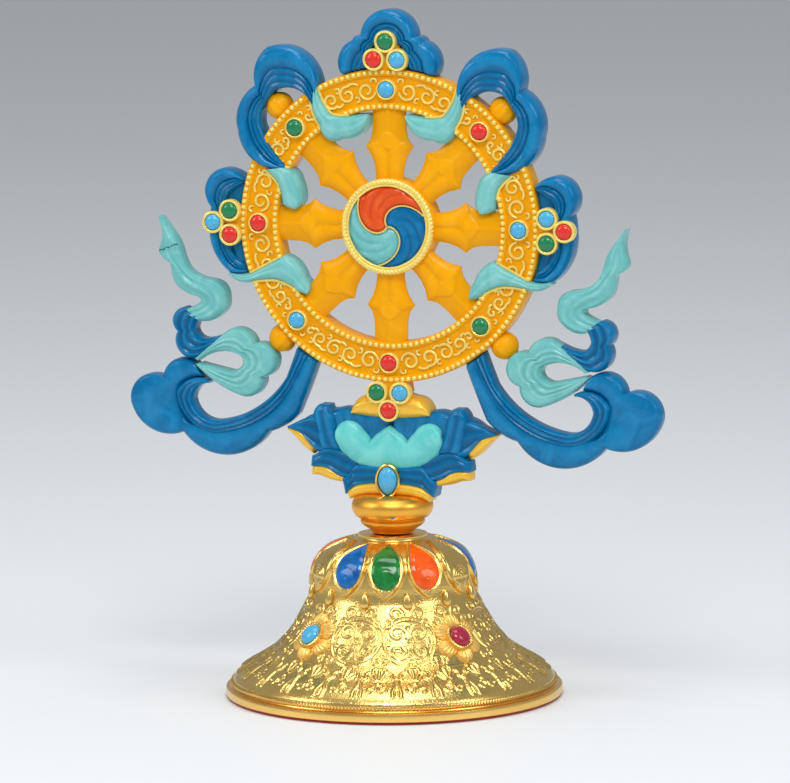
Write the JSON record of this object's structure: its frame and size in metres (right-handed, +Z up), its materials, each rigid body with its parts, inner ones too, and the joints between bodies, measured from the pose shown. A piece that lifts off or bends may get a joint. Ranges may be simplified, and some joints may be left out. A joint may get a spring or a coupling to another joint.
{
  "type": "dharma wheel ornament",
  "caption": "Painted dharma wheel with clouds, ribbons and a lotus below it, set with domed stones and standing on a flared bell-shaped base.",
  "frame": {"origin": "on the table, under the axis of the bell", "axes": "+Z up, the painted front faces -Y, +X to the right as seen from the front"},
  "size_m": [0.168, 0.1014, 0.2067],
  "materials": {
    "enamelled_casting": "glossy paint in yellow, blue and turquoise on a gilt zinc-alloy casting",
    "gilt_bell": "polished gold plate over punched and chased relief, with coloured enamel on the petals",
    "turquoise_stone": "polished domed stone, light blue with dark specks",
    "coral_stone": "polished domed stone, coral red",
    "green_stone": "polished domed stone, dark green",
    "felt": "thin red felt"
  },
  "bodies": {
    "root": {"wheel_and_lotus_casting": "enamelled_casting", "bell_base": "gilt_bell", "felt_pad": "felt", "lotus_stone": "turquoise_stone", "rim_stone_1": "turquoise_stone", "rim_stone_2": "coral_stone", "rim_stone_3": "turquoise_stone", "rim_stone_4": "green_stone", "rim_stone_5": "coral_stone", "rim_stone_6": "turquoise_stone", "rim_stone_7": "coral_stone", "rim_stone_8": "green_stone", "top_group_stone_1": "coral_stone", "top_group_stone_2": "turquoise_stone", "top_group_stone_3": "green_stone", "right_group_stone_1": "turquoise_stone", "right_group_stone_2": "green_stone", "right_group_stone_3": "coral_stone", "left_group_stone_1": "coral_stone", "left_group_stone_2": "green_stone", "left_group_stone_3": "turquoise_stone", "bottom_group_stone_1": "turquoise_stone", "bottom_group_stone_2": "green_stone", "bottom_group_stone_3": "coral_stone", "bell_stone_1": "turquoise_stone", "bell_stone_2": "coral_stone", "bell_stone_3": "turquoise_stone", "bell_stone_4": "coral_stone"}
  },
  "joints": []
}
